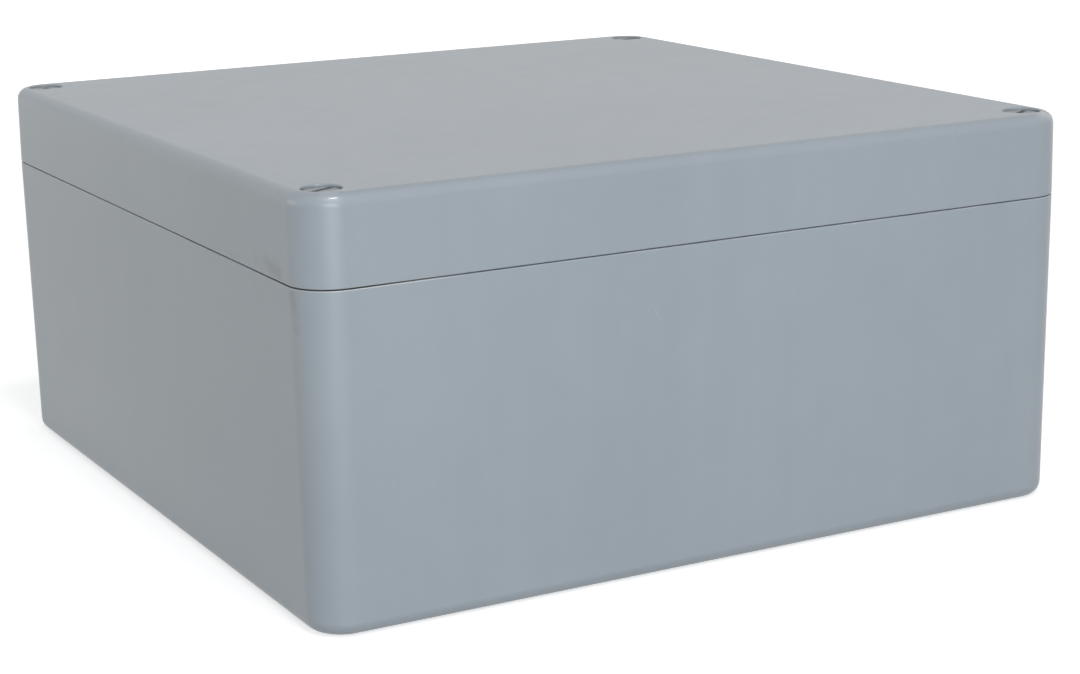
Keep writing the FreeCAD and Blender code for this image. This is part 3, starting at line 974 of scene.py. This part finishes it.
def makeCamera():
    s = cameraView
    azimuth = math.radians(s["azimuth"])
    elevation = math.radians(s["elevation"])
    back = Vector((math.sin(azimuth) * math.cos(elevation),
                   -math.cos(azimuth) * math.cos(elevation), math.sin(elevation)))
    level = Vector((math.cos(azimuth), math.sin(azimuth), 0))
    roll = Matrix.Rotation(math.radians(s["roll"]), 3, back)
    right = roll @ level
    up = roll @ back.cross(level)
    spot = (Vector(s["target"]) + s["right"] * right + s["up"] * up + s["distance"] * back) * mm
    data = bpy.data.cameras.new("camera")
    data.lens = s["lens"]
    data.sensor_fit = "HORIZONTAL"
    data.sensor_width = s["sensorWidth"]
    data.clip_start = s["clipStart"]
    camera = bpy.data.objects.new("camera", data)
    turned = Matrix((right, up, back)).transposed().to_4x4()
    camera.matrix_world = Matrix.Translation(spot) @ turned
    bpy.context.scene.collection.objects.link(camera)
    bpy.context.scene.camera = camera


makeCamera()


# plain floor, soft lamps and a white surround
studio = {
    "floorSize": 9,
    "floorTone": 0.45,
    "seenTone": 0.62,
    "floorGlow": 0.62,
    "farFrom": 0.9,
    "farTo": 2.2,
    "worldLight": 0.22,
    "aimAt": (0, 0, 0.06),
    "lamps": [
        {"name": "front", "place": (-0.48, -1.67, 0.32), "size": (0.8, 0.8), "power": 18.8,
         "colour": (0.945, 0.985, 1.0)},
        {"name": "upper", "place": (-0.23, -1.32, 1.40), "size": (1.0, 1.0), "power": 5.2,
         "colour": (0.95, 0.95, 1.0)},
        {"name": "left", "place": (-1.55, 0.95, 0.35), "size": (0.8, 0.8), "power": 5.8,
         "colour": (1.0, 0.985, 0.92)},
        {"name": "top", "place": (-0.04, -0.75, 1.81), "size": (0.42, 0.3), "power": 9,
         "colour": (1.0, 0.985, 0.985)},
        {"name": "rightFill", "place": (1.71, 0.80, 0.27), "size": (0.5, 0.5), "power": 14,
         "colour": (0.97, 0.99, 1.0), "unseen": True},
        {"name": "rearFill", "place": (-0.16, 1.88, 0.27), "size": (0.5, 0.5), "power": 15,
         "colour": (0.97, 0.99, 1.0), "unseen": True},
    ],
}


def seenDirectly(tree):
    path = addNode(tree, "ShaderNodeLightPath")
    seen = maths(tree, "ADD", path.outputs["Is Camera Ray"], path.outputs["Is Glossy Ray"])
    return maths(tree, "ADD", seen, path.outputs["Is Transmission Ray"], clamp=True)


def makeStudio():
    s = studio
    bm = bmesh.new()
    bmesh.ops.create_grid(bm, x_segments=1, y_segments=1, size=s["floorSize"] / 2)
    floor = newPiece("floor", bm)
    material, tree = newMaterial("paleFloor")
    plain = addNode(tree, "ShaderNodeBsdfDiffuse", {"Color": grey(*[s["floorTone"]] * 3)})
    shaded = addNode(tree, "ShaderNodeBsdfDiffuse", {"Color": grey(*[s["seenTone"]] * 3)})
    away = addNode(tree, "ShaderNodeVectorMath", {0: objectPlace(tree)}, operation="LENGTH")
    lit = ramp(tree, away.outputs["Value"], s["farFrom"], s["farTo"], s["floorGlow"], 1.0)
    glow = addNode(tree, "ShaderNodeEmission", {"Color": grey(1, 1, 1), "Strength": lit})
    white = addNode(tree, "ShaderNodeAddShader", {0: shaded.outputs[0], 1: glow.outputs[0]})
    mixed = addNode(tree, "ShaderNodeMixShader", {0: seenDirectly(tree), 1: plain.outputs[0],
                                                  2: white.outputs[0]})
    addNode(tree, "ShaderNodeOutputMaterial", {"Surface": mixed.outputs[0]})
    floor.data.materials.append(material)

    world = bpy.data.worlds.new("studio")
    bpy.context.scene.world = world
    world.use_nodes = True
    tree = world.node_tree
    tree.nodes.clear()
    soft = addNode(tree, "ShaderNodeBackground", {"Color": grey(1, 1, 1),
                                                  "Strength": s["worldLight"]})
    white = addNode(tree, "ShaderNodeBackground", {"Color": grey(1, 1, 1), "Strength": 1.0})
    mixed = addNode(tree, "ShaderNodeMixShader", {0: seenDirectly(tree), 1: soft.outputs[0],
                                                  2: white.outputs[0]})
    addNode(tree, "ShaderNodeOutputWorld", {"Surface": mixed.outputs[0]})

    for lamp in s["lamps"]:
        light = bpy.data.lights.new(lamp["name"], "AREA")
        light.shape = "RECTANGLE"
        light.size, light.size_y = lamp["size"]
        light.energy = lamp["power"]
        light.color = lamp["colour"]
        holder = bpy.data.objects.new(lamp["name"], light)
        holder.visible_glossy = not lamp.get("unseen", False)
        spot = Vector(lamp["place"])
        aim = (spot - Vector(s["aimAt"])).to_track_quat("Z", "Y")
        holder.matrix_world = Matrix.Translation(spot) @ aim.to_matrix().to_4x4()
        bpy.context.scene.collection.objects.link(holder)
    bpy.context.scene.view_settings.view_transform = "Standard"


makeStudio()
print("camera, floor and lamps made")
